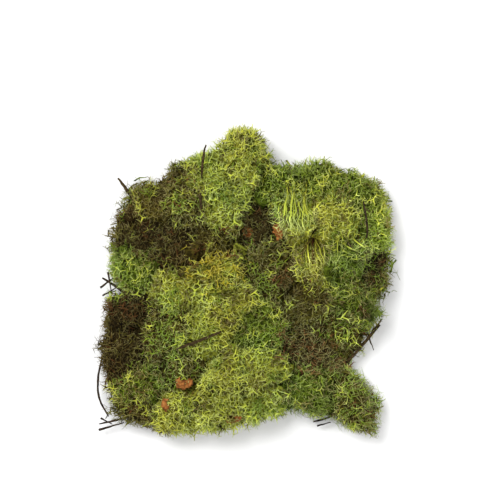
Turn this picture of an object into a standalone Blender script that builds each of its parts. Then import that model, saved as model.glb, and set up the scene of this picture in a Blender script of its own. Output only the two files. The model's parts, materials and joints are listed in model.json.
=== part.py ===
"""A flat clump of reindeer moss, the bushy lichen sold dried for craft work, about 150 mm by 163 mm.

The clump is many cushions of lichen pressed side by side, with needles, twigs and flakes of bark
caught in it. Each cushion is a pithy core that forking branchlets stand out of. Its neighbours stop
at upright border planes, so that the cushions meet almost face to face without crossing.
"""

import math
import random

import bmesh
import bpy
from mathutils import Matrix, Vector

MM = 0.001

# Colour and roughness of each finish
FINISHES = {
    "lime": ((0.33, 0.37, 0.07), 0.85),
    "green": ((0.22, 0.29, 0.06), 0.85),
    "olive": ((0.19, 0.18, 0.05), 0.9),
    "brown": ((0.11, 0.08, 0.03), 0.9),
    "needle": ((0.05, 0.03, 0.02), 0.6),
    "twig": ((0.14, 0.10, 0.06), 0.85),
    "bark": ((0.27, 0.09, 0.03), 0.75),
}

# Cushions, in mm: finish, habit, centre x and y, half width, half length, height
CUSHIONS = (
    ("lime", "net", 0, 65, 10, 11, 27),
    ("lime", "net", -19, 56, 11, 10, 26),
    ("olive", "net", -36, 57, 6, 5, 16),
    ("green", "net", 17, 54, 8, 8, 22),
    ("green", "net", 36, 54, 12, 8, 23),
    ("green", "net", 59, 48, 10, 8, 22),
    ("green", "net", 67, 30, 7, 13, 20),
    ("olive", "mossy", -51, 43, 11, 8, 21),
    ("olive", "net", -32, 39, 10, 9, 24),
    ("lime", "net", -11, 38, 10, 9, 25),
    ("lime", "strand", 26, 35, 9, 12, 26),
    ("lime", "net", 47, 34, 10, 10, 25),
    ("brown", "mossy", -55, 25, 9, 8, 20),
    ("brown", "mossy", -36, 20, 10, 9, 22),
    ("olive", "mossy", -18, 21, 8, 8, 20),
    ("brown", "mossy", 6, 30, 9, 9, 15),
    ("green", "net", -59, 6, 9, 10, 23),
    ("lime", "net", -14, 8, 12, 7, 24),
    ("olive", "net", 12, 10, 12, 10, 21),
    ("lime", "strand", 33, 12, 8, 11, 23),
    ("green", "strand", 52, 14, 9, 10, 24),
    ("brown", "mossy", 67, 5, 6, 9, 19),
    ("lime", "net", -9, -8, 13, 9, 28),
    ("lime", "net", -34, -4, 11, 9, 24),
    ("brown", "mossy", -60, -15, 10, 9, 21),
    ("green", "strand", 54, -8, 12, 10, 25),
    ("olive", "mossy", 31, -10, 10, 9, 20),
    ("olive", "net", -41, -23, 9, 9, 22),
    ("brown", "mossy", -63, -35, 8, 10, 20),
    ("lime", "net", -21, -26, 10, 9, 25),
    ("green", "net", 9, -22, 10, 9, 26),
    ("olive", "mossy", 50, -24, 10, 6, 18),
    ("lime", "net", -12, -45, 11, 10, 27),
    ("lime", "net", 9, -43, 11, 11, 28),
    ("olive", "net", -33, -44, 10, 9, 22),
    ("green", "net", -53, -51, 9, 9, 21),
    ("brown", "mossy", 32, -32, 12, 9, 19),
    ("olive", "mossy", -57, -66, 9, 6, 17),
    ("lime", "net", -36, -65, 10, 9, 23),
    ("lime", "net", -14, -65, 11, 9, 24),
    ("lime", "net", 8, -63, 9, 7, 22),
    ("green", "loose", 33, -52, 12, 8, 20),
    ("olive", "loose", 56, -62, 10, 10, 18),
)

# The clump's outline seen from above, in mm, and the height that it was pressed to
OUTLINE = (
    (-65, 43), (-68, 33), (-71, 20), (-71, 7), (-67, 3), (-72, -5), (-74, -24), (-75, -34), (-74, -46),
    (-72, -56), (-69, -66), (-62, -73), (-43, -77), (-23, -77), (-10, -76), (0, -73), (13, -70), (26, -66),
    (38, -68), (51, -73), (61, -79), (68, -81), (71, -70), (71, -62), (64, -52), (55, -44), (57, -37),
    (67, -24), (71, -14), (75, 2), (76, 14), (75, 36), (72, 52), (64, 59), (51, 57), (41, 65), (28, 60),
    (22, 58), (15, 63), (9, 74), (6, 79), (0, 81), (-6, 79), (-12, 73), (-23, 65), (-31, 64), (-37, 66),
    (-41, 64), (-38, 56), (-51, 54), (-60, 50),
)
PRESSED_HEIGHT = 30 * MM

# A border leaves this gap between two cushions
BORDER_GAP = 0.4 * MM
# Cushions further apart than this share no border
NEIGHBOUR_REACH = 60 * MM
FLOOR_CLEARANCE = 0.5 * MM

# The pithy core: share of its height, share of its half width, and corners of each layer
CORE_LAYERS = ((0.0, 0.8, 9), (0.3, 1.0, 11), (0.65, 0.74, 8), (1.0, 0.22, 3))
CORE_UNEVENNESS = 0.1
# The widest layer reaches on by up to this share, to meet a neighbour or the outline's fringe
BELT_REACH = 1.6
FRINGE = 6.5 * MM
BRANCHLET_RISE = 9.5 * MM

# Branchlets per habit, in mm: foot radius, stem, limb, tip, rise of a fork's middle, lean to the front
HABITS = {
    "net": (2.1, 5.4, 4.4, 4.4, 1.1, 0.0),
    "mossy": (2.0, 5.0, 4.0, 4.6, 1.2, 0.0),
    "strand": (2.0, 6.0, 5.4, 5.6, 0.9, 0.9),
    "loose": (1.9, 6.0, 5.2, 5.4, 1.0, 0.3),
}
BRANCHLET_SPACING = 6.2 * MM
ROOT_DEPTH = 2.2 * MM
ROOT_TRIES = 160
STEM_TAPER = 0.82
LIMB_TAPER = 0.78
LIMB_SPREAD = 0.22
TIP_SPREAD = 0.3
LIMB_ROOM = 1.2 * MM
TIP_ROOM = 0.1 * MM
SHORTEST_SHARE = 0.45
LOWEST_BRANCHLET = math.radians(20)
# Height of the point that branchlets grow away from, as a share of the cushion's height
GROWTH_CENTRE = 0.25

# Needles and twigs, in mm: name, finish, thickness, and the points that each runs through
STICKS = (
    ("needle_left_edge", "needle", 1.3, ((-72, -34, 7), (-75, -46, 8), (-75, -58, 7), (-70, -68, 6))),
    ("needle_upper_right", "needle", 1.2, ((60, 42, 26), (61.5, 33, 24), (62, 25, 20), (60, 17, 16))),
    ("needle_centre", "twig", 2.0, ((-35, -33, 23), (-24, -29, 25), (-12, -24, 24))),
    ("needle_lower_left", "needle", 1.3, ((-75, -72, 5), (-66, -70, 6), (-55, -67, 8))),
    ("needle_lower_right", "needle", 1.3, ((35, -71, 3), (42, -69, 4), (50, -65, 7))),
    ("needle_bottom", "twig", 1.2, ((-30, -70, 14), (-24, -62, 20), (-15, -49, 14))),
    ("twig_top_left", "twig", 2.2, ((-65, 54, 12), (-59, 46, 11), (-54, 38, 9))),
    ("twig_crown", "twig", 1.7, ((-20, 71, 22), (-21.5, 62, 25), (-22, 53, 24))),
    ("twig_left", "needle", 1.6, ((-73, 3, 11), (-65, -2, 11), (-57, -9, 12))),
    ("grass_lower_right", "twig", 1.8, ((70, -18, 9), (62, -29, 9), (52, -40, 7), (43, -46, 6))),
)
STICK_SIDES = 5
STICK_STEPS = 3
STICK_TAPER = 0.6

# Flakes of bark and dead leaf, in mm: name, centre, length, width, heading and tilt in degrees
FLAKES = (
    ("flake_left", (-31, -50, 19.5), 10, 6, 15, 12),
    ("flake_lower_left", (-40, -61, 20), 7, 4, 80, -18),
    ("flake_centre_right", (17, 27, 17), 9, 5, -65, 14),
    ("flake_bottom", (-6, -69, 17), 9, 5, 5, -20),
    ("flake_dark_hollow", (2, 27, 9), 6, 5, 30, 8),
)
FLAKE_THICKNESS = 1.0 * MM
FLAKE_ARCH = 1.4 * MM
FLAKE_EDGE_POINTS = 9

# Edges under this are merged away after the branchlets are joined on
SHORTEST_EDGE = 0.03 * MM
# Room left round a needle, twig or flake where it lies in the lichen
BED_GAP = 0.3 * MM


class Cushion:
    """One cushion of lichen, with its sizes in metres."""

    def __init__(self, number, row):
        finish, habit, x, y, half_width, half_length, height = row
        self.name = f"{finish}_cushion_{number:02d}"
        self.finish = finish
        self.habit = habit
        self.centre = Vector((x, y, 0)) * MM
        self.half_width = half_width * MM
        self.half_length = half_length * MM
        self.height = height * MM
        self.chance = random.Random(number)

    def reach(self, heading):
        """Distance from the centre to the cushion's edge along a level direction."""
        return 1 / math.hypot(heading.x / self.half_width, heading.y / self.half_length)


def clear_scene():
    for obj in list(bpy.data.objects):
        bpy.data.objects.remove(obj)


def finish_material(finish):
    found = bpy.data.materials.get(finish)
    if found:
        return found
    colour, roughness = FINISHES[finish]
    made = bpy.data.materials.new(finish)
    made.use_nodes = True
    shader = made.node_tree.nodes["Principled BSDF"]
    shader.inputs["Base Color"].default_value = (*colour, 1)
    shader.inputs["Roughness"].default_value = roughness
    shader.inputs["Metallic"].default_value = 0
    return made


def object_of(bm, name, finish=None):
    """Turns a bmesh into a linked object and frees it."""
    mesh = bpy.data.meshes.new(name)
    bm.to_mesh(mesh)
    bm.free()
    obj = bpy.data.objects.new(name, mesh)
    bpy.context.scene.collection.objects.link(obj)
    if finish:
        mesh.materials.append(finish_material(finish))
    return obj


class Plot:
    """The room that one cushion may fill: behind its borders and inside the outline of the clump."""

    def __init__(self, cushion, cushions):
        self.centre = cushion.centre
        # Planes as (normal, limit) in the cushion's own frame: floor, press, and one to each neighbour
        self.borders = [(Vector((0, 0, -1)), -FLOOR_CLEARANCE), (Vector((0, 0, 1)), PRESSED_HEIGHT)]
        for other in cushions:
            between = other.centre - cushion.centre
            if other is cushion or between.length > NEIGHBOUR_REACH:
                continue
            heading = between.normalized()
            own, theirs = cushion.reach(heading), other.reach(-heading)
            limit = between.length * own / (own + theirs) - BORDER_GAP / 2
            self.borders.append((heading, limit))

    def in_outline(self, point):
        place = (point + self.centre) / MM
        inside = False
        for (x1, y1), (x2, y2) in zip(OUTLINE, OUTLINE[1:] + OUTLINE[:1]):
            if (y1 > place.y) != (y2 > place.y) and place.x < x1 + (place.y - y1) / (y2 - y1) * (x2 - x1):
                inside = not inside
        return inside

    def behind_borders(self, point, clear=0.0):
        return all(point.dot(normal) <= limit - clear for normal, limit in self.borders)

    def pressed(self, point):
        """The point of the core moved back behind every upright border that it crosses."""
        for normal, limit in self.borders[2:] * 3:
            point = point - normal * max(point.dot(normal) - limit, 0)
        return point

    def way(self, start, heading, length, clear):
        """The step that a branch takes, turned upwards where a border is near. None if it has no room."""
        for lift in (0, 0.6, 1.4):
            step = (heading + Vector((0, 0, lift))).normalized() * length
            for share in (1, 0.85, 0.7, SHORTEST_SHARE):
                end = start + step * share
                if self.behind_borders(end, clear) and self.in_outline(end):
                    return step * share
        return None


def core_of(cushion, plot):
    """The lumpy dome that the branchlets grow from, flat where it rests."""
    bm = bmesh.new()
    top = cushion.height - BRANCHLET_RISE
    for layer, (rise, spread, corners) in enumerate(CORE_LAYERS):
        for corner in range(corners):
            angle = math.tau * (corner + layer / 2) / corners
            uneven = 1 + CORE_UNEVENNESS * cushion.chance.uniform(-1, 1)
            level = Vector((math.cos(angle) * cushion.half_width, math.sin(angle) * cushion.half_length, 0))
            reach = BELT_REACH if spread == 1 else spread * uneven
            while reach > 0.3 and not plot.in_outline(level * reach + level.normalized() * FRINGE):
                reach -= 0.05
            point = level * reach
            point.z = top * rise * (uneven if 0 < rise < 1 else 1)
            bm.verts.new(plot.pressed(point))
    bmesh.ops.remove_doubles(bm, verts=bm.verts, dist=0.2 * MM)
    hull = bmesh.ops.convex_hull(bm, input=bm.verts)
    inside = {e for e in hull["geom_interior"] + hull["geom_unused"] if isinstance(e, bmesh.types.BMVert)}
    bmesh.ops.delete(bm, geom=list(inside), context="VERTS")
    bmesh.ops.dissolve_degenerate(bm, edges=bm.edges, dist=0.05 * MM)
    bmesh.ops.triangulate(bm, faces=bm.faces)
    bmesh.ops.recalc_face_normals(bm, faces=bm.faces)
    return bm


def fork(bm, face, rise):
    """Splits a three-sided end face into three about a raised middle, and returns them."""
    normal = face.normal.copy()
    made = bmesh.ops.poke(bm, faces=[face])
    for vert in made["verts"]:
        vert.co += normal * rise
    bmesh.ops.recalc_face_normals(bm, faces=made["faces"])
    for part in made["faces"]:
        part.normal_update()
    return made["faces"]


def lengthen(bm, face, step, taper):
    """Extrudes a face along a step, narrows its far end and returns the new end face."""
    made = bmesh.ops.extrude_discrete_faces(bm, faces=[face])["faces"][0]
    middle = made.calc_center_median()
    for vert in made.verts:
        vert.co = middle + (vert.co - middle) * taper + step
    made.normal_update()
    return made


def turned(direction, chance, spread):
    """The direction turned a little at random."""
    return (direction + Vector([chance.uniform(-spread, spread) for _ in range(3)])).normalized()


def branchlet(habit, root, heading, plot, chance):
    """A forking branchlet: a stem, three limbs and three tips on each, all behind the borders."""
    foot, stem, limb, tip, rise, _ = (size * MM for size in HABITS[habit])
    step = plot.way(root, heading, stem, LIMB_ROOM)
    if not step:
        return None
    bm = bmesh.new()
    turn = step.to_track_quat("Z", "Y").to_matrix() @ Matrix.Rotation(chance.uniform(0, math.tau), 3, "Z")
    bmesh.ops.create_cone(
        bm, cap_ends=True, segments=3, radius1=foot, radius2=foot * STEM_TAPER, depth=step.length,
        matrix=Matrix.Translation(root + step / 2) @ turn.to_4x4(),
    )
    bm.normal_update()
    top = max(bm.faces, key=lambda face: face.calc_center_median().dot(step))
    for limb_base in fork(bm, top, rise):
        middle = limb_base.calc_center_median()
        heading = turned(limb_base.normal, chance, LIMB_SPREAD)
        step = plot.way(middle, heading, limb * chance.uniform(0.8, 1.15), LIMB_ROOM)
        if not step:
            continue
        end = lengthen(bm, limb_base, step, LIMB_TAPER)
        for tip_base in fork(bm, end, rise / 2):
            middle = tip_base.calc_center_median()
            heading = turned(tip_base.normal, chance, TIP_SPREAD)
            step = plot.way(middle, heading, tip * chance.uniform(0.75, 1.2), TIP_ROOM)
            if step:
                bmesh.ops.poke(bm, faces=[tip_base])["verts"][0].co = middle + step
    bmesh.ops.recalc_face_normals(bm, faces=bm.faces)
    return bm


def roots_on(cushion, core, plot):
    """Evenly spaced (place, normal) pairs on the open part of the core, for branchlets to grow from."""
    foot = HABITS[cushion.habit][0] * MM
    faces = [face for face in core.faces if face.normal.z > -math.sin(LOWEST_BRANCHLET)]
    areas = [face.calc_area() for face in faces]
    roots = [(Vector((0, 0, cushion.height - BRANCHLET_RISE)), Vector((0, 0, 1)))]
    for face in cushion.chance.choices(faces, areas, k=ROOT_TRIES):
        across, along = sorted((cushion.chance.random(), cushion.chance.random()))
        a, b, c = (vert.co for vert in face.verts)
        place = a * across + b * (along - across) + c * (1 - along)
        crowded = any((place - other).length < BRANCHLET_SPACING for other, _ in roots)
        if not crowded and plot.behind_borders(place, foot):
            roots.append((place, face.normal.copy()))
    return roots


def plant(cushion, core, plot, bed):
    """Stands branchlets on the core, as objects in the collection that the core is joined with."""
    middle = Vector((0, 0, cushion.height * GROWTH_CENTRE))
    lean = Vector((0, -HABITS[cushion.habit][-1], 0))
    for place, normal in roots_on(cushion, core, plot):
        heading = ((place - middle).normalized() + normal * 0.6 + lean).normalized()
        grown = branchlet(cushion.habit, place - heading * ROOT_DEPTH, heading, plot, cushion.chance)
        if grown and all(plot.behind_borders(vert.co) for vert in grown.verts):
            mesh = bpy.data.meshes.new("branchlet")
            grown.to_mesh(mesh)
            obj = bpy.data.objects.new("branchlet", mesh)
            obj.location = cushion.centre
            bed.objects.link(obj)
        if grown:
            grown.free()


def is_closed(bm):
    """Whether every edge lies between two faces."""
    return all(len(edge.link_faces) == 2 for edge in bm.edges)


def triangles_of(mesh):
    bm = bmesh.new()
    bm.from_mesh(mesh)
    bmesh.ops.triangulate(bm, faces=bm.faces)
    return bm


def combine(obj, operation, collection):
    """Applies a Boolean with every object of a collection, and tells whether it left a closed body."""
    cut = obj.modifiers.new(operation.lower(), "BOOLEAN")
    cut.operation = operation
    cut.operand_type = "COLLECTION"
    cut.collection = collection
    for cut.solver in ("MANIFOLD", "EXACT"):
        graph = bpy.context.evaluated_depsgraph_get()
        made = bpy.data.meshes.new_from_object(obj.evaluated_get(graph))
        bm = triangles_of(made)
        closed = bool(bm.faces) and is_closed(bm)
        bm.free()
        if closed:
            obj.data = made
            break
    obj.modifiers.clear()
    return closed


def tidy_body(obj, finish):
    """Keeps only the largest connected body of the object's mesh, in one finish, without tiny edges."""
    bm = triangles_of(obj.data)
    left, bodies = set(bm.verts), []
    while left:
        body, ahead = set(), [left.pop()]
        while ahead:
            vert = ahead.pop()
            body.add(vert)
            near = {edge.other_vert(vert) for edge in vert.link_edges} & left
            left -= near
            ahead.extend(near)
        bodies.append(body)
    bodies.sort(key=len)
    for scrap in bodies[:-1]:
        bmesh.ops.delete(bm, geom=list(scrap), context="VERTS")
    lean = bm.copy()
    bmesh.ops.dissolve_degenerate(lean, edges=lean.edges, dist=SHORTEST_EDGE)
    bmesh.ops.triangulate(lean, faces=lean.faces)
    kept = lean if is_closed(lean) else bm
    for face in kept.faces:
        face.material_index = 0
    kept.to_mesh(obj.data)
    bm.free()
    lean.free()
    obj.data.materials.clear()
    obj.data.materials.append(finish_material(finish))


def empty_collection(collection):
    for obj in list(collection.objects):
        bpy.data.objects.remove(obj)


def boxes_meet(first, second):
    """Whether the world boxes of two objects overlap."""
    spans = []
    for obj in (first, second):
        corners = [obj.matrix_world @ Vector(corner) for corner in obj.bound_box]
        spans.append([(min(c[axis] for c in corners), max(c[axis] for c in corners)) for axis in range(3)])
    return all(a[0] < b[1] and b[0] < a[1] for a, b in zip(*spans))


def build_cushion(cushion, cushions, beds, helpers, cutters):
    """One cushion: its core and branchlets in one body, cut back where a needle or flake lies in it."""
    plot = Plot(cushion, cushions)
    core = core_of(cushion, plot)
    plant(cushion, core, plot, helpers)
    obj = object_of(core, cushion.name, cushion.finish)
    obj.location = cushion.centre
    while helpers.objects and not combine(obj, "UNION", helpers):
        bpy.data.objects.remove(helpers.objects[-1])
    bpy.context.view_layer.update()
    for bed in beds:
        if boxes_meet(obj, bed):
            cutters.objects.link(bed)
    if cutters.objects:
        combine(obj, "DIFFERENCE", cutters)
    for bed in list(cutters.objects):
        cutters.objects.unlink(bed)
    tidy_body(obj, cushion.finish)
    empty_collection(helpers)
    return obj


def curved(points, steps):
    """Points along a smooth curve through the given ones."""
    ends = [points[0] * 2 - points[1], *points, points[-1] * 2 - points[-2]]
    path = []
    for before, start, end, after in zip(ends, ends[1:], ends[2:], ends[3:]):
        for step in range(steps):
            t = step / steps
            path.append((
                start * 2 + (end - before) * t + (before * 2 - start * 5 + end * 4 - after) * t**2
                + (start * 3 - before - end * 3 + after) * t**3
            ) / 2)
    return [*path, points[-1]]


def stick(name, thickness, points, growth=0.0):
    """A needle or twig as a tapered round rod. Growth thickens and lengthens it, for the bed cut."""
    path = curved([Vector(point) * MM for point in points], STICK_STEPS)
    path[0] += (path[0] - path[1]).normalized() * growth
    path[-1] += (path[-1] - path[-2]).normalized() * growth
    bm = bmesh.new()
    rings = []
    for index, point in enumerate(path):
        along = (path[min(index + 1, len(path) - 1)] - path[max(index - 1, 0)]).normalized()
        turn = along.to_track_quat("Z", "Y").to_matrix()
        share = index / (len(path) - 1)
        radius = thickness / 2 * MM * (1 - (1 - STICK_TAPER) * abs(share * 2 - 1) ** 3) + growth
        rings.append([
            bm.verts.new(point + turn @ Vector((math.cos(a), math.sin(a), 0)) * radius)
            for a in (math.tau * side / STICK_SIDES for side in range(STICK_SIDES))
        ])
    for ring, following in zip(rings, rings[1:]):
        for side in range(STICK_SIDES):
            after = (side + 1) % STICK_SIDES
            bm.faces.new((ring[side], ring[after], following[after], following[side]))
    bm.faces.new(rings[0][::-1])
    bm.faces.new(rings[-1])
    return bm


def flake(name, centre, length, width, heading, tilt, growth=0.0):
    """A curled flake with a ragged edge. Growth makes it larger all round, for the bed cut."""
    chance = random.Random(name)
    bm = bmesh.new()
    half_thickness = FLAKE_THICKNESS / 2 + growth
    edge = []
    for index in range(FLAKE_EDGE_POINTS):
        angle = math.tau * index / FLAKE_EDGE_POINTS
        ragged = chance.uniform(0.78, 1.1)
        across = math.cos(angle) * (length / 2 * MM * ragged + growth)
        deep = math.sin(angle) * (width / 2 * MM * ragged + growth)
        edge.append((across, deep))
    sides = []
    for side in (-1, 1):
        middle = bm.verts.new((0, 0, FLAKE_ARCH + side * half_thickness))
        rim = []
        for across, deep in edge:
            fall = FLAKE_ARCH * (1 - (across / (length / 2 * MM)) ** 2)
            rim.append(bm.verts.new((across, deep, fall + side * half_thickness)))
        sides.append((middle, rim))
    for (middle, rim), order in zip(sides, (-1, 1)):
        for index, vert in enumerate(rim):
            after = rim[(index + 1) % FLAKE_EDGE_POINTS]
            bm.faces.new((middle, vert, after)[::order])
    (_, lower), (_, upper) = sides
    for index in range(FLAKE_EDGE_POINTS):
        after = (index + 1) % FLAKE_EDGE_POINTS
        bm.faces.new((lower[index], lower[after], upper[after], upper[index]))
    turn = Matrix.Rotation(math.radians(heading), 4, "Z") @ Matrix.Rotation(math.radians(tilt), 4, "X")
    bmesh.ops.transform(bm, matrix=Matrix.Translation(Vector(centre) * MM) @ turn, verts=bm.verts)
    bmesh.ops.recalc_face_normals(bm, faces=bm.faces)
    return bm


def centre_on_origin(objects):
    """Parents all to one empty, and puts the middle of their common box over the origin."""
    bpy.context.view_layer.update()
    corners = [obj.matrix_world @ Vector(corner) for obj in objects for corner in obj.bound_box]
    clump = bpy.data.objects.new("clump", None)
    bpy.context.scene.collection.objects.link(clump)
    for obj in objects:
        obj.parent = clump
    for axis in range(2):
        values = [corner[axis] for corner in corners]
        clump.location[axis] = -(min(values) + max(values)) / 2


def helper_collection(name):
    made = bpy.data.collections.new(name)
    bpy.context.scene.collection.children.link(made)
    made.hide_render = True
    return made


def main():
    clear_scene()
    cushions = [Cushion(number, row) for number, row in enumerate(CUSHIONS, 1)]
    debris, beds = [], []
    for name, finish, thickness, points in STICKS:
        debris.append(object_of(stick(name, thickness, points), name, finish))
        beds.append(object_of(stick(name, thickness, points, BED_GAP), f"{name}_bed"))
    for name, *sizes in FLAKES:
        debris.append(object_of(flake(name, *sizes), name, "bark"))
        beds.append(object_of(flake(name, *sizes, BED_GAP), f"{name}_bed"))
    bpy.context.view_layer.update()
    helpers, cutters = helper_collection("branchlets"), helper_collection("beds")
    made = [build_cushion(cushion, cushions, beds, helpers, cutters) for cushion in cushions]
    for bed in beds:
        bpy.data.objects.remove(bed)
    for collection in (helpers, cutters):
        bpy.data.collections.remove(collection)
    centre_on_origin(made + debris)


main()
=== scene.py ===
"""The look of a flat clump of dried reindeer moss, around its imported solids."""

import json
import math
from collections import namedtuple

import bmesh
import bpy
import numpy as np
from mathutils import Matrix, Vector, noise
from mathutils.bvhtree import BVHTree


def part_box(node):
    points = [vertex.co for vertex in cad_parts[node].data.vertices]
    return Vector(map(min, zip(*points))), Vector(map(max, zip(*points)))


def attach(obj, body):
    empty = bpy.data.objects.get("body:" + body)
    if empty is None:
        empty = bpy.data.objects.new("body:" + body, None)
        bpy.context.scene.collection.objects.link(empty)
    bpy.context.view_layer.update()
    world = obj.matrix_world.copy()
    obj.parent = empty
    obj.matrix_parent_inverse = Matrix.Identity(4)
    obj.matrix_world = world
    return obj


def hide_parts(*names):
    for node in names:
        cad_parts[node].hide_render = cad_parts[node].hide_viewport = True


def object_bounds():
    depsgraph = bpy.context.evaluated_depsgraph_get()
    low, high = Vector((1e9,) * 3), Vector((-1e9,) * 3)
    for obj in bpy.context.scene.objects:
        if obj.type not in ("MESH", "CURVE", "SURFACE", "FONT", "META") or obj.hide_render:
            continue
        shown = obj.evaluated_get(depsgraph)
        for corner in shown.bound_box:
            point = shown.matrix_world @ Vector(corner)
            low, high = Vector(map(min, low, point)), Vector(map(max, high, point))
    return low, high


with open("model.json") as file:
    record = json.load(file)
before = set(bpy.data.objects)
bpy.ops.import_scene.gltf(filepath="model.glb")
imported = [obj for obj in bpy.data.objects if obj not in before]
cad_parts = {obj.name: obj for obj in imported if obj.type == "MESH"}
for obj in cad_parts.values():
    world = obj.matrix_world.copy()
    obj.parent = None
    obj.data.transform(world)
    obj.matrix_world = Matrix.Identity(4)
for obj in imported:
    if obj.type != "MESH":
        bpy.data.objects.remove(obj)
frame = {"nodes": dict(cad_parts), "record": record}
cad_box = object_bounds()

# Dyed lichen. The whole lot is dipped in dye: it takes brightest on the young tips of the branches,
# and the old wood inside a cushion stays brown. The foot colours are also darkened as painted shade,
# for the shade down inside a cushion. Each colour runs foot, middle, tip.
MM = 0.001
LICHEN_COLOURS = {
    "lime": ((0.155, 0.155, 0.018), (0.415, 0.45, 0.050), (0.50, 0.54, 0.18)),
    "green": ((0.046, 0.062, 0.005), (0.14, 0.19, 0.016), (0.285, 0.35, 0.090)),
    "olive": ((0.034, 0.025, 0.004), (0.12, 0.108, 0.018), (0.29, 0.26, 0.11)),
    "brown": ((0.018, 0.011, 0.003), (0.080, 0.058, 0.014), (0.20, 0.165, 0.070)),
    "rust": ((0.020, 0.008, 0.003), (0.10, 0.042, 0.012), (0.25, 0.125, 0.050)),
    "gold": ((0.10, 0.075, 0.008), (0.36, 0.31, 0.022), (0.60, 0.54, 0.12)),
}
DYE_AND_SHADE_PLACES = (0.15, 0.6, 0.95)
YELLOWED, GREENED = (1, 0.95, 0.88), (0.92, 1, 1)
LICHEN_ROUGHNESS = 0.85
LICHEN_GLOSS = 0.04


def new_material(name, roughness, gloss):
    made = bpy.data.materials.new(name)
    made.use_nodes = True
    shader = made.node_tree.nodes["Principled BSDF"]
    shader.inputs["Roughness"].default_value = roughness
    shader.inputs["Specular IOR Level"].default_value = gloss
    return made, made.node_tree, shader


def add_node(tree, kind, **sockets):
    node = tree.nodes.new(kind)
    for name, value in sockets.items():
        node.inputs[name.replace("_", " ")].default_value = value
    return node


def add_pattern(tree, kind, **sockets):
    """A noise or a cell pattern that is fixed to the piece."""
    node = add_node(tree, kind, **sockets)
    tree.links.new(tree.nodes.new("ShaderNodeTexCoord").outputs["Object"], node.inputs["Vector"])
    return node


def add_attribute(tree, name):
    node = tree.nodes.new("ShaderNodeAttribute")
    node.attribute_name = name
    return node.outputs["Fac"]


def add_range(tree, value, **sockets):
    node = add_node(tree, "ShaderNodeMapRange", **sockets)
    tree.links.new(value, node.inputs["Value"])
    return node.outputs["Result"]


def add_ramp(tree, value, stops):
    """A colour ramp over a value. Each stop is a place and a colour."""
    node = tree.nodes.new("ShaderNodeValToRGB")
    elements = node.color_ramp.elements
    for end in (0, -1):
        elements[end].position = stops[end][0]
        elements[end].color = (*stops[end][1], 1)
    for place, colour in stops[1:-1]:
        elements.new(place).color = (*colour, 1)
    tree.links.new(value, node.inputs["Fac"])
    return node.outputs["Color"]


def add_product(tree, one, two):
    node = add_node(tree, "ShaderNodeMixRGB", Fac=1)
    node.blend_type = "MULTIPLY"
    tree.links.new(one, node.inputs["Color1"])
    tree.links.new(two, node.inputs["Color2"])
    return node.outputs["Color"]


def add_relief(tree, height, shader, **sockets):
    bump = add_node(tree, "ShaderNodeBump", **sockets)
    tree.links.new(height, bump.inputs["Height"])
    tree.links.new(bump.outputs["Normal"], shader.inputs["Normal"])


def lichen_material(finish):
    """Branches that pale from foot to tip, partly their own colour and partly painted shade, with a soft
    change of tone from patch to patch.
    """
    made, tree, shader = new_material(f"lichen_{finish}", LICHEN_ROUGHNESS, LICHEN_GLOSS)
    reach, tone = add_attribute(tree, "reach"), add_attribute(tree, "tone")

    # The dye, with painted shade towards the foot, which drifts a little yellower or greener across the
    # clump.
    dye = add_ramp(tree, reach, list(zip(DYE_AND_SHADE_PLACES, LICHEN_COLOURS[finish])))
    drift = add_pattern(tree, "ShaderNodeTexNoise", Scale=38, Detail=1)
    cast = add_ramp(tree, drift.outputs["Fac"], ((0.36, YELLOWED), (0.64, GREENED)))

    # How strongly it took, in soft patches and from sprig to sprig.
    patches = add_pattern(tree, "ShaderNodeTexNoise", Scale=90, Detail=3)
    soft = add_range(tree, patches.outputs["Fac"], From_Min=0.3, From_Max=0.7, To_Min=0.75, To_Max=1.2)

    # Old growth, known by its low reach, gets a painted tangle of stems with painted shade in the gaps
    # between them.
    tangle = add_pattern(tree, "ShaderNodeTexVoronoi", Scale=420)
    tangle.feature = "DISTANCE_TO_EDGE"
    stems_and_gap_shade = add_node(tree, "ShaderNodeMixRGB", Color1=(1, 1, 1, 1))
    buried = add_range(tree, reach, From_Min=0.2, From_Max=0.3, To_Min=1, To_Max=0)
    stems = add_range(tree, tangle.outputs["Distance"], From_Max=0.2, To_Min=1.8, To_Max=0.4)
    tree.links.new(buried, stems_and_gap_shade.inputs["Fac"])
    tree.links.new(stems, stems_and_gap_shade.inputs["Color2"])

    # Here the tone carries painted shade for the inner sprigs and the core, and the tangle paints shade
    # in its gaps.
    strength = add_product(tree, add_product(tree, soft, tone), stems_and_gap_shade.outputs["Color"])
    colour = add_product(tree, add_product(tree, dye, cast), strength)
    tree.links.new(colour, shader.inputs["Base Color"])
    grain = add_pattern(tree, "ShaderNodeTexNoise", Scale=2500, Detail=2)
    add_relief(tree, grain.outputs["Fac"], shader, Strength=0.5, Distance=0.2 * MM)
    return made


lichen_materials = {finish: lichen_material(finish) for finish in LICHEN_COLOURS}

# Sprigs. A reindeer lichen grows by forking: a hollow stem splits into three, each of those into three
# again, down to curled tips half a millimetre thick. A few of each habit are modelled, and copied.
# Columns: stem radius and length, joints in the stem, limb and twig lengths, how wide the forks open,
# curl and fattening, in mm. A habit with no twigs ends its limbs in points.
SPRIG_HABITS = {
    "net": (0.36, 2.3, 0, 1.9, 1.8, 0.85, 3.8, 0.03),
    "mossy": (0.33, 2.2, 0, 2.0, 1.9, 0.60, 4.2, 0.02),
    "strand": (0.36, 19.0, 7, 4.0, 2.6, 0.30, 2.6, 0.03),
    "loose": (0.34, 9.0, 3, 3.6, 2.8, 0.50, 3.8, 0.02),
    "inner": (0.42, 1.8, 0, 2.4, 0.0, 0.62, 3.0, 0.03),
}
SPRIG_VARIANTS = 6
LIMB_GAP, TWIG_GAP = 0.05 * MM, 0.03 * MM
LIMB_FORK, LIMB_POINT = 0.37, 1.6
LEVEL = 0.9
STEM_RISE, STEM_TOP = 0.95, 1.01
VARIANT_STEP = (7.3, 3.1)
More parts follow.
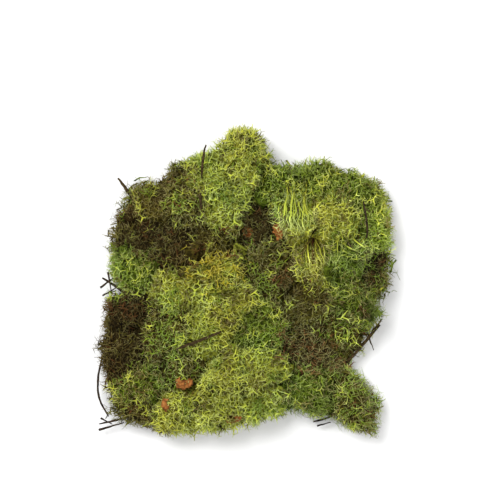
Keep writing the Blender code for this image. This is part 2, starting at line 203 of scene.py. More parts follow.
curl_pattern = bpy.data.textures.new("curl", "CLOUDS")
curl_pattern.cloud_type = "COLOR"
curl_pattern.noise_scale = 4 * MM


def select_only(*pieces):
    """Selects these pieces and nothing else. The last one is the active one."""
    bpy.ops.object.select_all(action="DESELECT")
    for piece in pieces:
        piece.select_set(True)
    bpy.context.view_layer.objects.active = pieces[-1]


def edit_all(piece):
    """Opens a piece in edit mode, with all of it selected."""
    select_only(piece)
    bpy.ops.object.mode_set(mode="EDIT")
    bpy.ops.mesh.select_all(action="SELECT")


def displace(piece, pattern, strength, direction="NORMAL"):
    """Adds a displacement that takes its pattern from where the piece lies."""
    modifier = piece.modifiers.new(pattern.name, "DISPLACE")
    modifier.texture = pattern
    modifier.texture_coords = "GLOBAL"
    modifier.direction = direction
    modifier.strength = strength
    return modifier


def apply_modifiers(piece):
    select_only(piece)
    for modifier in list(piece.modifiers):
        bpy.ops.object.modifier_apply(modifier=modifier.name)


def points_of(mesh):
    points = np.empty(len(mesh.vertices) * 3, np.float32)
    mesh.vertices.foreach_get("co", points)
    return points.reshape(-1, 3)


def move_points(mesh, points):
    mesh.vertices.foreach_set("co", points.ravel())


def set_attribute(mesh, name, values):
    attribute = mesh.attributes.get(name) or mesh.attributes.new(name, "FLOAT", "POINT")
    spread = np.broadcast_to(values, len(mesh.vertices))
    attribute.data.foreach_set("value", spread.astype(np.float32))


def split_stem(mesh, stem, joints):
    """Cuts a stem across, so that it can bend along its length."""
    bpy.ops.mesh.select_mode(type="EDGE")
    bpy.ops.mesh.select_all(action="DESELECT")
    for edge in mesh.edges:
        low, high = sorted(vertex.co.z for vertex in edge.verts)
        edge.select_set(high - low > STEM_RISE * stem and high < STEM_TOP * stem)
    bpy.ops.mesh.subdivide(number_cuts=joints)


def model_sprig(habit, number):
    radius, stem, joints, limb, twig, opening, curl, fattening = SPRIG_HABITS[habit]
    bpy.ops.object.select_all(action="DESELECT")
    bpy.ops.mesh.primitive_cylinder_add(
        vertices=3, radius=radius * MM, depth=stem * MM, location=(0, 0, stem / 2 * MM)
    )
    sprig = bpy.context.object
    sprig.name = f"{habit}_sprig_{number}"
    bpy.ops.object.transform_apply(location=True)
    bpy.ops.object.mode_set(mode="EDIT")
    bpy.ops.mesh.select_mode(type="FACE")
    for wanted in (-1, 1):
        mesh = bmesh.from_edit_mesh(sprig.data)
        for face in mesh.faces:
            face.select_set(face.normal.z * wanted > LEVEL)
        if wanted < 0:
            bpy.ops.mesh.delete(type="ONLY_FACE")
    bpy.ops.mesh.poke(offset=radius * opening * MM)
    bpy.ops.mesh.inset(thickness=LIMB_GAP, depth=limb * MM, use_individual=True)
    bpy.ops.mesh.poke(offset=radius * (LIMB_FORK if twig else LIMB_POINT) * MM)
    if twig:
        bpy.ops.mesh.inset(thickness=TWIG_GAP, depth=twig * MM, use_individual=True)
    if joints:
        split_stem(bmesh.from_edit_mesh(sprig.data), stem * MM, joints)
    bpy.ops.mesh.select_all(action="SELECT")
    bpy.ops.transform.shrink_fatten(value=-fattening * MM)
    bpy.ops.object.mode_set(mode="OBJECT")
    heights = points_of(sprig.data)[:, 2]
    set_attribute(sprig.data, "reach", np.clip(heights / heights.max(), 0, 1))

    # Each variant curls by another part of the pattern, and is brought back to stand on its foot.
    sprig.location = Vector((number * VARIANT_STEP[0], number * VARIANT_STEP[1], 0)) * MM
    displace(sprig, curl_pattern, curl * MM, "RGB_TO_XYZ")
    apply_modifiers(sprig)
    sprig.location = (0, 0, 0)
    foot = points_of(sprig.data)[:3].mean(axis=0)
    sprig.data.transform(Matrix.Translation(-Vector(foot.tolist())))
    sprig.data.shade_smooth()
    sprig.data.materials.append(None)
    sprig["height"] = float(points_of(sprig.data)[:, 2].max())
    return sprig


sprigs = {habit: [model_sprig(habit, n) for n in range(SPRIG_VARIANTS)] for habit in SPRIG_HABITS}

# The envelope of a cushion: the skin that its outermost tips just touch. One is stretched over each
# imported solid, and swollen until the cushions press together. The sprigs' tips come up to it.
CUSHION_NODES = sorted(name for name in frame["nodes"] if "_cushion_" in name)
WALL_GAP = 9 * MM
WALL_TURNS = [math.radians(turn) for turn in range(-36, 37, 3)]
WALL_FACING = 0.3
CORNER = 2 * MM
SWELL = 6 * MM
SWELL_PASSES = 3
HEADS = 5 * MM
SKY = 1.0
LOOSE_CORNERS, SLIVERS = 0.01 * MM, 0.05 * MM
Wall = namedtuple("Wall", "normal limit span other")
heads_pattern = bpy.data.textures.new("heads", "CLOUDS")
heads_pattern.noise_scale = 6 * MM


def merged_copy(node, name):
    """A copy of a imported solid, with the loose corners of its triangles joined."""
    piece = bpy.data.objects.new(name, frame["nodes"][node].data.copy())
    bpy.context.scene.collection.objects.link(piece)
    piece.data.materials.clear()
    edit_all(piece)
    bpy.ops.mesh.remove_doubles(threshold=LOOSE_CORNERS)
    bpy.ops.object.mode_set(mode="OBJECT")
    return piece


def stretch_skin():
    """Turns what is selected in edit mode into a closed, bulging skin of triangles."""
    bpy.ops.mesh.select_all(action="SELECT")
    bpy.ops.mesh.convex_hull()
    bpy.ops.mesh.quads_convert_to_tris()


def envelope_of(node):
    envelope = merged_copy(node, f"{node}_envelope")
    bpy.ops.object.mode_set(mode="EDIT")
    stretch_skin()
    bpy.ops.object.mode_set(mode="OBJECT")
    return envelope


envelopes = {node: envelope_of(node) for node in CUSHION_NODES}


def wall_between(node, other):
    """The upright wall halfway between two cushions pressed together, or None."""
    points, others = points_of(envelopes[node].data)[:, :2], points_of(envelopes[other].data)[:, :2]
    between = others.mean(axis=0) - points.mean(axis=0)
    heading = math.atan2(between[1], between[0])
    best = None
    for turn in WALL_TURNS:
        normal = np.array((math.cos(heading + turn), math.sin(heading + turn)))
        near, far = (points @ normal).max(), (others @ normal).min()
        if best is None or far - near > best[0]:
            best = (far - near, normal, (near + far) / 2)
    gap, normal, limit = best
    sideways = (-normal[1], normal[0])
    along, along_other = points @ sideways, others @ sideways
    span = max(along.min(), along_other.min()), min(along.max(), along_other.max())
    return Wall(normal, limit, span, other) if gap < WALL_GAP and span[0] < span[1] else None


walls = {
    node: [wall for other in CUSHION_NODES if other != node and (wall := wall_between(node, other))]
    for node in CUSHION_NODES
}


def beside(point, wall):
    """Whether a point is level with the stretch of wall where two cushions press together."""
    along = point[1] * wall.normal[0] - point[0] * wall.normal[1]
    return wall.span[0] - CORNER <= along <= wall.span[1] + CORNER


def heading_from(middle, point):
    outward = point[:2] - middle
    return outward / max(np.linalg.norm(outward), 1e-6)


def swell(node):
    """Spreads an envelope sideways until it meets its neighbours. Its free sides stay put."""
    envelope = envelopes[node]
    points = points_of(envelope.data)
    middle = (points.min(axis=0) + points.max(axis=0))[:2] / 2
    for point in points:
        heading = heading_from(middle, point)
        for wall in walls[node]:
            if heading @ wall.normal > WALL_FACING and beside(point, wall):
                point[:2] += wall.normal * np.clip(wall.limit - point[:2] @ wall.normal, 0, SWELL)
        for wall in walls[node] * SWELL_PASSES:
            point[:2] -= wall.normal * max(point[:2] @ wall.normal - wall.limit, 0)
    move_points(envelope.data, points)
    edit_all(envelope)
    bpy.ops.mesh.remove_doubles(threshold=SLIVERS)
    stretch_skin()
    bpy.ops.mesh.subdivide(number_cuts=2)
    bpy.ops.object.mode_set(mode="OBJECT")
    displace(envelope, heads_pattern, HEADS)
    apply_modifiers(envelope)


def tree_over(pieces):
    """A search tree over the envelopes, and the cushion that each of its triangles belongs to."""
    points, faces, owners = [], [], []
    for node, piece in pieces.items():
        start = len(points)
        points += [vertex.co.copy() for vertex in piece.data.vertices]
        faces += [[start + i for i in face.vertices] for face in piece.data.polygons]
        owners += [node] * len(piece.data.polygons)
    return BVHTree.FromPolygons(points, faces), owners


for node in CUSHION_NODES:
    swell(node)
envelope_tree, envelope_owners = tree_over(envelopes)
tops = {node: float(points_of(piece.data)[:, 2].max()) for node, piece in envelopes.items()}


def lichen_above(x, y):
    """Where the lichen's skin is, straight down from above a place, or None."""
    return envelope_tree.ray_cast(Vector((x, y, SKY)), (0, 0, -1))[0]


# The old growth inside a cushion: dead brown stems, matted too close to see between. It is a dark
# mass that also stands for the shade deep inside the cushion, so its darkness is partly painted
# shade. It fills the envelope behind the live sprigs, and low down it runs up against the next cushion.
CORE_DEPTH = 4.2 * MM
CORE_FOOT = 1.6 * MM
CORE_MAT = 1.3 * MM
CORE_MAT_LEVEL = 0.3
CORE_REACH = 0.22
PRESSED = 2.5 * MM
SHOULDER = 5 * MM
OVERLAP = 2.5 * MM
SKIRT = 4 * MM
SKIRT_TURNS = (-0.8, 0, 0.8)
PULL_IN = 0.7  # mm
mat_pattern = bpy.data.textures.new("mat", "CLOUDS")
mat_pattern.noise_scale = 2.2 * MM
mat_pattern.noise_depth = 2


def enclosed(place, outward):
    """Whether lichen lies all round the outer side of a place."""
    for turn in SKIRT_TURNS:
        side = Vector((*outward, 0))
        side.rotate(Matrix.Rotation(turn, 3, "Z"))
        beyond = Vector((*place, 0)) + side * SKIRT
        if lichen_above(beyond.x, beyond.y) is None:
            return False
    return True


def model_core(node):
    core = envelopes[node].copy()
    core.data = envelopes[node].data.copy()
    core.name = core.data.name = f"{node}_lichen"
    bpy.context.scene.collection.objects.link(core)
    skin = points_of(core.data)
    edit_all(core)
    bpy.ops.transform.shrink_fatten(value=-CORE_DEPTH)
    bpy.ops.object.mode_set(mode="OBJECT")
    points = points_of(core.data)
    middle = (skin.min(axis=0) + skin.max(axis=0))[:2] / 2
    for point, was in zip(points, skin):
        pressed = [
            wall for wall in walls[node]
            if wall.limit - was[:2] @ wall.normal < PRESSED
            and beside(was, wall) and was[2] < tops[wall.other] - SHOULDER
        ]
        if pressed:
            point[:] = was
            point[2] -= CORE_DEPTH
        for wall in pressed:
            point[:2] += wall.normal * OVERLAP
        outward = heading_from(middle, point)
        while not enclosed(point[:2], outward) and outward @ (point[:2] - middle) > MM:
            point[:2] -= outward * PULL_IN * MM
    points[:, 2] = np.maximum(points[:, 2], CORE_FOOT)
    move_points(core.data, points)
    edit_all(core)
    bpy.ops.mesh.subdivide(number_cuts=1)
    bpy.ops.object.mode_set(mode="OBJECT")
    displace(core, mat_pattern, CORE_MAT).mid_level = CORE_MAT_LEVEL
    apply_modifiers(core)
    core.data.shade_smooth()
    set_attribute(core.data, "reach", CORE_REACH)
    return core


# The dye lot. Some cushions took the dye more strongly than others, and some unevenly. Where two meet
# their branches mingle, and tufts of the next darker or brighter colour grow all through.
CUSHION_TONES = {
    5: 1.1, 7: 1.65, 11: 1.3, 12: 1.1, 13: 0.85, 14: 0.85, 15: 0.95, 16: 1.1, 17: 1.05, 20: 1.1,
    25: 0.75, 26: 0.85, 27: 1.05, 28: 1.15, 29: 0.75, 32: 1.2, 37: 1.4, 42: 1.1, 43: 1.1,
}
# The second colour of an uneven cushion, and how much of it that covers.
UNEVEN = {
    8: ("green", 0.25), 9: ("green", 0.40), 13: ("olive", 0.35), 14: ("olive", 0.30),
    15: ("rust", 0.22), 18: ("gold", 0.75), 19: ("green", 0.35), 22: ("green", 0.35),
    25: ("rust", 0.20), 26: ("olive", 0.25), 28: ("green", 0.55), 32: ("green", 0.40),
    35: ("green", 0.35), 36: ("olive", 0.40), 37: ("rust", 0.25), 42: ("olive", 0.25),
    43: ("green", 0.55),
}
UNEVEN_PLACE = Vector((40, 0, 0))
UNEVEN_SPREAD, UNEVEN_BLUR = 0.8, 0.12
# How high a noise from -1 to 1 has to be for a brighter tuft, and how low for a darker one.
TUFTS = {
    "lime": (("green", 0.36), ("olive", -0.37)),
    "green": (("lime", 0.28), ("olive", -0.40)),
    "olive": (("lime", 0.38), ("brown", -0.15)),
    "brown": (("olive", 0.14), ("brown", -1.0)),
}
TUFT = 6.5 * MM
TUFT_BLUR = 0.14
MINGLE = 4.5 * MM
MINGLE_SHARE = 0.45
RUST_SHARE = 0.12


def finish_of(node):
    return node.split("_")[0]


def number_of(node):
    return int(node[-2:])


def room_to(wall, place):
    """How far inside a wall a place lies, in metres. It is negative beyond it."""
    return wall.limit - (place.x * wall.normal[0] + place.y * wall.normal[1])


def mixed_dye(node, spot, chance):
    """The dye at a spot and its strength: now and then those of the cushion next to it."""
    taken = node
    for wall in walls[node]:
        if chance.random() < MINGLE_SHARE * (1 - room_to(wall, spot) / MINGLE):
            taken = wall.other
    finish = finish_of(taken)
    strength = CUSHION_TONES.get(number_of(taken), 1)
    second, share = UNEVEN.get(number_of(taken), (finish, 0))
    unevenness = noise.noise(spot / TUFT + UNEVEN_PLACE) * UNEVEN_SPREAD + 0.5
    if unevenness + chance.normal(0, UNEVEN_BLUR) < share:
        finish = second
        if finish in ("rust", "gold"):
            return finish, strength
    (bright, over), (dark, below) = TUFTS[finish]
    tuft = noise.noise(spot / TUFT) + chance.normal(0, TUFT_BLUR)
    found = bright if tuft > over else dark if tuft < below else finish
    return "rust" if found == "brown" and chance.random() < RUST_SHARE else found, strength


# The live growth. Sprigs stand as thickly as the cushion carries them, fanning out from its middle,
# and none grow where two cushions hide each other's sides. Shorter ones fill in behind, darkened as
# painted shade.
SPOT_TRIES = 7
OFF_SKIN = 0.05  # mm
CROWDED = 3.5 * MM
SHADED_DEPTH = 3 * MM
RIM = 3 * MM
RIM_RISE = 1.2 * MM
RIM_LIFT = 1.5
UNDERSIDE = -0.5
UNDERSIDE_BARE = 0.35
FAN_CENTRE = 0.25
OUTWARD = 0.5
TIP_SINK = 1.2 * MM
FRAY = 1.6 * MM
FREE_SIDE = 4 * MM
FREE_SLOPE = 0.7
LOWEST_AIM = 0.1
SIZES, FREE_SIZES = (0.85, 1.15), (0.9, 1.4)
PAST_WALL = 1 * MM
FOOT_HEIGHT = 0.8 * MM
INNER_SPACING = 2.7 * MM
INNER_LENGTH = 1.4  # mm
INNER_JITTER = 0.6
INNER_FACING = -0.2
INNER_PAST_WALL = 0.5 * MM
CORE_SHADE_TONE = 0.7
# The inner sprigs' tones are low as painted shade, for lying deep behind the tips.
TIP_TONES, INNER_SHADED_TONES = (0.84, 1.14), (0.45, 0.8)
LOWEST = 0.1 * MM
HIGHEST = cad_box[1][2] + 0.8 * MM


def spots_on(piece, spacing, chance):
    """Points scattered evenly over a skin, each at least the spacing from the others, with normals."""
    piece.data.calc_loop_triangles()
    points = points_of(piece.data).astype(float)
    corners = points[np.array([triangle.vertices for triangle in piece.data.loop_triangles])]
    across = np.cross(corners[:, 1] - corners[:, 0], corners[:, 2] - corners[:, 0])
    areas = np.linalg.norm(across, axis=1) / 2
    many = int(areas.sum() / spacing ** 2 * SPOT_TRIES)
    picked = chance.choice(len(areas), many, p=areas / areas.sum())
    one, two = np.sqrt(chance.random(many)), chance.random(many)
    weights = np.stack([1 - one, one * (1 - two), one * two], axis=1)
    spots = (corners[picked] * weights[:, :, None]).sum(axis=1)
    normals = across[picked] / (areas[picked] * 2)[:, None]
    kept, cells = [], {}
    for i, spot in enumerate(spots):
        cell = tuple((spot // spacing).astype(int))
        near = [
            j for dx in (-1, 0, 1) for dy in (-1, 0, 1) for dz in (-1, 0, 1)
            for j in cells.get((cell[0] + dx, cell[1] + dy, cell[2] + dz), ())
        ]
        if not near or np.linalg.norm(spots[near] - spot, axis=1).min() > spacing:
            cells.setdefault(cell, []).append(i)
            kept.append(i)
    return [(Vector(spots[i]), Vector(normals[i])) for i in kept]


def room_at(node, place):
    """How far inside all its walls a place lies. With no walls there is a metre."""
    return min((room_to(wall, place) for wall in walls[node]), default=1)


def hidden(node, spot, normal):
    """Whether a spot faces the next cushion, too far down to be seen."""
    found, _, face, _ = envelope_tree.ray_cast(spot + normal * OFF_SKIN * MM, normal, CROWDED)
    if found is None or envelope_owners[face] == node:
        return False
    above = lichen_above(spot.x + normal.x * MM, spot.y + normal.y * MM)
    return above is not None and spot.z < above.z - SHADED_DEPTH


def copy_sprig(sprig, foot, aim, size, dye, tones, chance):
    foot.z = max(foot.z, FOOT_HEIGHT)
    copy = bpy.data.objects.new("sprig", sprig.data.copy())
    turn = Vector((0, 0, 1)).rotation_difference(aim).to_matrix().to_4x4()
    spin = Matrix.Rotation(chance.uniform(0, math.tau), 4, "Z")
    copy.matrix_world = Matrix.Translation(foot) @ turn @ spin @ Matrix.Scale(size, 4)
    finish, strength = dye
    copy.data.materials[0] = lichen_materials[finish]
    set_attribute(copy.data, "tone", strength * chance.uniform(*tones))
    bpy.context.scene.collection.objects.link(copy)
    return copy


def plant_tips(node, chance, habit, spacing, lean, fanning, jitter, share_long=1.0):
    """Covers a cushion with live sprigs. Among long ones, the rest are short and upright."""
    low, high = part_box(node)
    middle = Vector(((low.x + high.x) / 2, (low.y + high.y) / 2, high.z * FAN_CENTRE))
    lean = Vector(lean)
    copies = []
    for spot, normal in spots_on(envelopes[node], spacing, chance):
        if hidden(node, spot, normal):
            continue
        under = normal.z < UNDERSIDE
        if under and chance.random() < UNDERSIDE_BARE:
            continue
        crowding = max(0, min(1, 1 - room_at(node, spot) / RIM)) * (normal.z > 0)
        spot.z += RIM_RISE * crowding
        long = chance.random() < share_long
        variant = chance.integers(SPRIG_VARIANTS)
        short = sprigs["inner" if under else "mossy" if habit == "mossy" else "net"][variant]
        sprig = sprigs[habit][variant] if long and not under else short
        size = chance.uniform(*SIZES)
        sink = chance.uniform(0, TIP_SINK)
        if abs(normal.z) < FREE_SLOPE and room_at(node, spot) > FREE_SIDE:
            size *= chance.uniform(*FREE_SIZES)
            sink -= chance.uniform(0, FRAY)
        sway = Vector(chance.normal(0, jitter, 3))

        # A sprig whose foot would miss the cushion leans less, and is a short one in the end.
        for branch, share in ((sprig, 1), (sprig, 0.6), (sprig, 0.2), (short, 0)):
            fan = (spot - middle).normalized() * fanning
            aim = normal * OUTWARD + fan + sway + lean * share * long * (not under)
            aim.z += RIM_LIFT * crowding * (1 - min(1, lean.length * long))
            if not under:
                aim.z = max(aim.z, LOWEST_AIM)
            aim.normalize()
            foot = spot - aim * (branch["height"] * size + sink)
            grown_over = under or lichen_above(foot.x, foot.y) is not None
            if room_at(node, foot) > -PAST_WALL and grown_over:
                break
        dye = ("brown", 1) if under else mixed_dye(node, spot, chance)
        copies.append(copy_sprig(branch, foot, aim, size, dye, TIP_TONES, chance))
    return copies


def plant_inner(node, core, chance):
    """Fills in behind the tips with short growth that stands on the old."""
    copies = []
    for spot, normal in spots_on(core, INNER_SPACING, chance):
        if normal.z < INNER_FACING or room_at(node, spot) < -INNER_PAST_WALL:
            continue
        aim = (normal + Vector(chance.normal(0, INNER_JITTER, 3))).normalized()
        sprig = sprigs["inner"][chance.integers(SPRIG_VARIANTS)]
        dye = mixed_dye(node, spot, chance)
        foot = spot - aim * INNER_LENGTH * MM
        copies.append(copy_sprig(sprig, foot, aim, 1, dye, INNER_SHADED_TONES, chance))
    return copies


# A whole cushion is one piece: its live sprigs, grown fast to the old growth. Nothing in it runs
# straight, because all of the lump sways by a millimetre or two, each cushion with its neighbours.
SWAY = 6 * MM
sway_patterns = {}
for direction, scale in (("X", 13), ("Y", 15)):
    sway_patterns[direction] = bpy.data.textures.new(f"sway_{direction}", "CLOUDS")
    sway_patterns[direction].noise_scale = scale * MM


def plant(node, *growth):
    """Joins a cushion's sprigs to its old growth as one piece, which stands for its solid."""
    chance = np.random.default_rng(number_of(node))
    core = model_core(node)
    # The core's tone is lowered as painted shade, for the shade deep inside the cushion.
    set_attribute(core.data, "tone", CORE_SHADE_TONE * CUSHION_TONES.get(number_of(node), 1))
    core.data.materials.append(lichen_materials[finish_of(node)])
    copies = plant_tips(node, chance, *growth) + plant_inner(node, core, chance)
    select_only(*copies, core)
    bpy.ops.object.join()
    for direction, pattern in sway_patterns.items():
        displace(core, pattern, SWAY, direction)
    apply_modifiers(core)
    points = points_of(core.data)
    points[:, 2] = np.clip(points[:, 2], LOWEST, HIGHEST)
    move_points(core.data, points)
    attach(core, "root")
    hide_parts(node)


# Net-headed cushions, which most of the clump is. The tips of their close heads curl into each other
# and knit into a net. Each kind says its habit, spacing, lean, fanning, jitter and share of long sprigs.
growths = {node: ("net", 2.25 * MM, (0, 0, 0.15), 0.8, 0.3) for node in CUSHION_NODES}


def regrow(numbers, *growth):
    growths.update({node: growth for node in CUSHION_NODES if number_of(node) in numbers})


# Mossy cushions: the dark ones at the upper left, down the left edge, at the right edge and round the
# hollows. Their branches are finer and point every way, so that one sees down between them.
regrow({8, 13, 14, 15, 16, 22, 25, 27, 29, 32, 38}, "mossy", 2.4 * MM, (0, 0, 0.1), 0.8, 0.5)

# Combed cushions, above and right of the middle. Long stems lie side by side where the lump was drawn
# out, with all their tips the same way.
regrow({11, 20, 21}, "strand", 2.3 * MM, (0, -2.2, 0.25), 0.2, 0.12, 0.65)

# The swirled cushion below them, near the right edge. Its long stems turn aside and come apart, with
# short growth between them.
regrow({26}, "strand", 2.3 * MM, (0.4, -1.4, 0.3), 0.4, 0.4, 0.35)

# Loose cushions, at the bottom right and just above it. Open sprigs of middling length hang out of the
# lump there, each cushion's the way that it was pulled.
for number, pull in {42: (0.9, -0.5, 0.2), 43: (0.5, -0.9, 0.2), 37: (0.2, 0.6, 0.3)}.items():
    regrow({number}, "loose", 2.4 * MM, pull, 0.9, 0.35, 0.55)

for node in CUSHION_NODES:
    plant(node, *growths[node])
for piece in [*envelopes.values(), *(sprig for group in sprigs.values() for sprig in group)]:
    bpy.data.objects.remove(piece)

# Flakes of bark, raked up with the lichen. Each is a torn sheet with a bite out of it, curled up
# lengthwise as it dried, and caught flat among the branch tips.
BARK_COLOURS = (0.075, 0.024, 0.005), (0.26, 0.10, 0.024)
BARK_ROUGHNESS = 0.8
BARK_WEAR = 1.6 * MM
DRY_GLOSS = 0.08
GRAIN_SPAN = (0.4, 0.64)
FLAKE_CELLS = (14, 10)
FLAKE_SPREAD = 1.12
FLAKE_THICKNESS = 0.5 * MM
FLAKE_CURL = math.radians(80)
FLAKE_PROUD = 0.3 * MM
TORN_RADIUS, TORN_WAVE, TORN_STEPS = 0.45, 0.13, 5
BITE_RADIUS = 0.24
# The middle of each flake's bite, as shares of its length and width.
BITES = {
    "flake_left": (0.0, 0.40), "flake_lower_left": (0.4, 0.1), "flake_centre_right": (-0.4, -0.3),
    "flake_bottom": (0.1, 0.45), "flake_dark_hollow": (0.45, 0.4),
}
slots = {row["node"]: row["material_slot"] for row in frame["record"]["subparts"]}
wear_pattern = bpy.data.textures.new("wear", "CLOUDS")
wear_pattern.cloud_type = "COLOR"
wear_pattern.noise_scale = 2.6 * MM
wear_pattern.noise_depth = 2


def dry_material(finish, colours, roughness):
    """Dry woody skin, with a rough grain that is pale on its ridges."""
    made, tree, shader = new_material(f"dry_{finish}", roughness, DRY_GLOSS)
    grain = add_pattern(tree, "ShaderNodeTexNoise", Scale=600, Detail=4, Roughness=0.6).outputs["Fac"]
    colour = add_ramp(tree, grain, list(zip(GRAIN_SPAN, colours)))
    tree.links.new(colour, shader.inputs["Base Color"])
    add_relief(tree, grain, shader, Strength=0.6, Distance=0.3 * MM)
    return made


def model_flake(node):
    low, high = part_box(node)
    bpy.ops.object.select_all(action="DESELECT")
    bpy.ops.mesh.primitive_grid_add(x_subdivisions=FLAKE_CELLS[0], y_subdivisions=FLAKE_CELLS[1], size=1)
    flake = bpy.context.object
    bpy.ops.object.mode_set(mode="EDIT")
    bpy.ops.mesh.select_mode(type="FACE")
    mesh = bmesh.from_edit_mesh(flake.data)
    for face in mesh.faces:
        middle = face.calc_center_median()
        edge = TORN_RADIUS + TORN_WAVE * noise.noise(middle * TORN_STEPS + Vector((len(node), 0, 0)))
        bitten = (middle.xy - Vector(BITES[node])).length < BITE_RADIUS
        face.select_set(middle.xy.length > edge or bitten)
    bpy.ops.mesh.delete(type="FACE")
    bpy.ops.object.mode_set(mode="OBJECT")
    flake.scale = ((high.x - low.x) * FLAKE_SPREAD, (high.y - low.y) * FLAKE_SPREAD, 1)
    bpy.ops.object.transform_apply(scale=True)
    curled = flake.modifiers.new("curled", "SIMPLE_DEFORM")
    curled.deform_method = "BEND"
    curled.deform_axis = "Y"
    curled.angle = FLAKE_CURL
    flake.modifiers.new("sheet", "SOLIDIFY").thickness = FLAKE_THICKNESS
    apply_modifiers(flake)
    top = points_of(flake.data)[:, 2].max()
    middle = Vector(((low.x + high.x) / 2, (low.y + high.y) / 2, high.z + FLAKE_PROUD - top))
    flake.data.transform(Matrix.Translation(middle))
    return flake


def finish_dry(piece, node, material, wear):
    """Roughens a dry piece all over, colours it, and puts it in its solid's place."""
    piece.name = f"{node}_dry"
    displace(piece, wear_pattern, wear, "RGB_TO_XYZ")
    apply_modifiers(piece)
    piece.data.shade_smooth()
    piece.data.materials.append(material)
    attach(piece, "root")
    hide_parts(node)


bark_material = dry_material("bark", BARK_COLOURS, BARK_ROUGHNESS)
DEBRIS_NODES = sorted(set(frame["nodes"]) - set(CUSHION_NODES))
FLAKE_NODES = [node for node in DEBRIS_NODES if slots[node] == "bark"]
for node in FLAKE_NODES:
    finish_dry(model_flake(node), node, bark_material, BARK_WEAR)

# Needles, twigs and grass that were raked up with the lichen. They are bone dry: fallen needles turn
# nearly black, and twigs keep a split, papery skin. Each lies caught in the branches, and small ones
# cross the large.
NEEDLE_COLOURS = (0.008, 0.005, 0.003), (0.040, 0.024, 0.012)
NEEDLE_ROUGHNESS = 0.6
TWIG_COLOURS = (0.014, 0.009, 0.003), (0.058, 0.038, 0.014)
TWIG_ROUGHNESS = 0.85
stick_materials = {
    "needle": dry_material("needle", NEEDLE_COLOURS, NEEDLE_ROUGHNESS),
    "twig": dry_material("twig", TWIG_COLOURS, TWIG_ROUGHNESS),
}
STICK_WEAR = {"needle": 0.5 * MM, "twig": 0.9 * MM}
STICK_THINNING = {"needle": 0.05 * MM, "twig": 0.15 * MM}
# The small crossing needles, as (node, start, end, thickness) in mm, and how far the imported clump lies
# from where they were laid out.
CROSSING = (
    ("twig_left", (-74, -2, 9), (-66, 4, 12), 1.3),
    ("twig_left", (-70, 6, 13), (-68, -6, 10), 1.1),
    ("twig_left", (-73, -6, 8), (-64, -1, 12), 1.0),
    ("needle_lower_left", (-75, -75, 4), (-62, -71, 8), 1.4),
    ("needle_lower_left", (-74, -69, 4), (-68, -72, 6), 1.1),
    ("grass_lower_right", (69, -21, 8), (50, -44, 6), 1.3),
    ("grass_lower_right", (63, -26, 9), (66, -34, 5), 1.0),
    ("needle_upper_right", (52, 21, 24), (63, 8, 19), 1.1),
    ("twig_crown", (-23, 46, 24), (-22, 38, 25), 1.8),
    ("needle_lower_right", (37, -73, 4), (44, -71, 5), 1.0),
)
CLUMP_SHIFT = Vector((-0.021, -0.539, 0)) * MM
NEEDLE_JOINTS = 6
STICK_JOINTS = 2
NEEDLE_RISE = 0.9


def model_needle(start, end, thickness):
    """A dry needle: a thin cone, jointed along its length."""
    start, end = Vector(start) * MM + CLUMP_SHIFT, Vector(end) * MM + CLUMP_SHIFT
    along = end - start
    bpy.ops.object.select_all(action="DESELECT")
    bpy.ops.mesh.primitive_cone_add(
        vertices=5, radius1=thickness / 2 * MM, radius2=thickness / 5 * MM, depth=along.length,
        location=(start + end) / 2, rotation=along.to_track_quat("Z", "Y").to_euler(),
    )
    needle = bpy.context.object
    bpy.ops.object.transform_apply(location=True, rotation=True)
    bpy.ops.object.mode_set(mode="EDIT")
    bpy.ops.mesh.select_mode(type="EDGE")
    mesh = bmesh.from_edit_mesh(needle.data)
    for edge in mesh.edges:
        edge.select_set(edge.calc_length() > NEEDLE_RISE * along.length)
    bpy.ops.mesh.subdivide(number_cuts=NEEDLE_JOINTS)
    bpy.ops.object.mode_set(mode="OBJECT")
    return needle


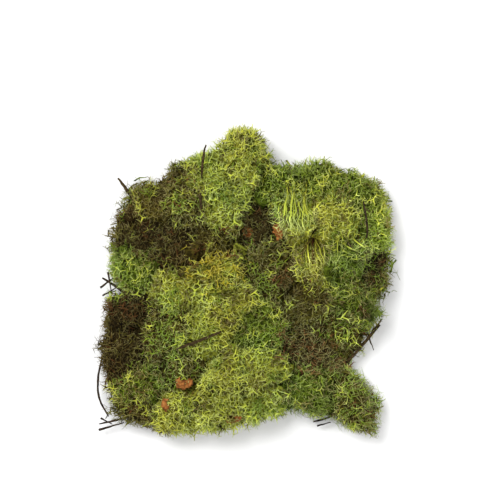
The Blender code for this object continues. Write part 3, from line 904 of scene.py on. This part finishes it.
def model_stick(node):
    """The solid of a needle or a twig, thinned and jointed, with those that cross it."""
    stick = merged_copy(node, f"{node}_dry")
    edit_all(stick)
    bpy.ops.transform.shrink_fatten(value=-STICK_THINNING[slots[node]])
    bpy.ops.mesh.subdivide(number_cuts=STICK_JOINTS)
    bpy.ops.object.mode_set(mode="OBJECT")
    crossing = [model_needle(*row[1:]) for row in CROSSING if row[0] == node]
    select_only(*crossing, stick)
    if crossing:
        bpy.ops.object.join()
    return stick


STICK_NODES = [node for node in DEBRIS_NODES if node not in FLAKE_NODES]
for node in STICK_NODES:
    finish_dry(model_stick(node), node, stick_materials[slots[node]], STICK_WEAR[slots[node]])

# The studio: a plain pale floor, a broad soft light from the upper left, and a camera looking
# straight down.
FLOOR_SIZE = 6
FLOOR_GREY = 0.66
PAPER_ROUGHNESS, PAPER_GLOSS = 0.9, 0.5
SKY_LIGHT = 0.8
PHOTO_FIELD = 0.255
CLUMP_HEIGHT = 0.015
CAMERA_PLACE = (2.53 * MM, 16.8 * MM, 1.6)
SENSOR = 36
bpy.ops.object.select_all(action="DESELECT")
bpy.ops.mesh.primitive_plane_add(size=FLOOR_SIZE)
floor = bpy.context.object
floor.name = "floor"
floor_paper, _, floor_shader = new_material("floor_paper", PAPER_ROUGHNESS, PAPER_GLOSS)
floor_shader.inputs["Base Color"].default_value = (FLOOR_GREY, FLOOR_GREY, FLOOR_GREY, 1)
floor.data.materials.append(floor_paper)

world = bpy.data.worlds.new("studio")
world.use_nodes = True
world.node_tree.nodes["Background"].inputs["Color"].default_value = (1, 1, 1, 1)
world.node_tree.nodes["Background"].inputs["Strength"].default_value = SKY_LIGHT
bpy.context.scene.world = world

for name, place, size, power in (
    ("key", (-0.7, 0.7, 1.3), 0.9, 36),
    ("fill", (0.9, -0.5, 1.2), 1.2, 12),
):
    lamp = bpy.data.objects.new(name, bpy.data.lights.new(name, "AREA"))
    lamp.data.size = size
    lamp.data.energy = power
    lamp.location = place
    lamp.rotation_euler = (-Vector(place)).to_track_quat("-Z", "Y").to_euler()
    bpy.context.scene.collection.objects.link(lamp)

camera = bpy.data.objects.new("camera", bpy.data.cameras.new("camera"))
camera.location = CAMERA_PLACE
camera.data.sensor_width = SENSOR
camera.data.lens = SENSOR * (CAMERA_PLACE[2] - CLUMP_HEIGHT) / PHOTO_FIELD
bpy.context.scene.collection.objects.link(camera)
bpy.context.scene.camera = camera
bpy.context.scene.view_settings.view_transform = "Standard"
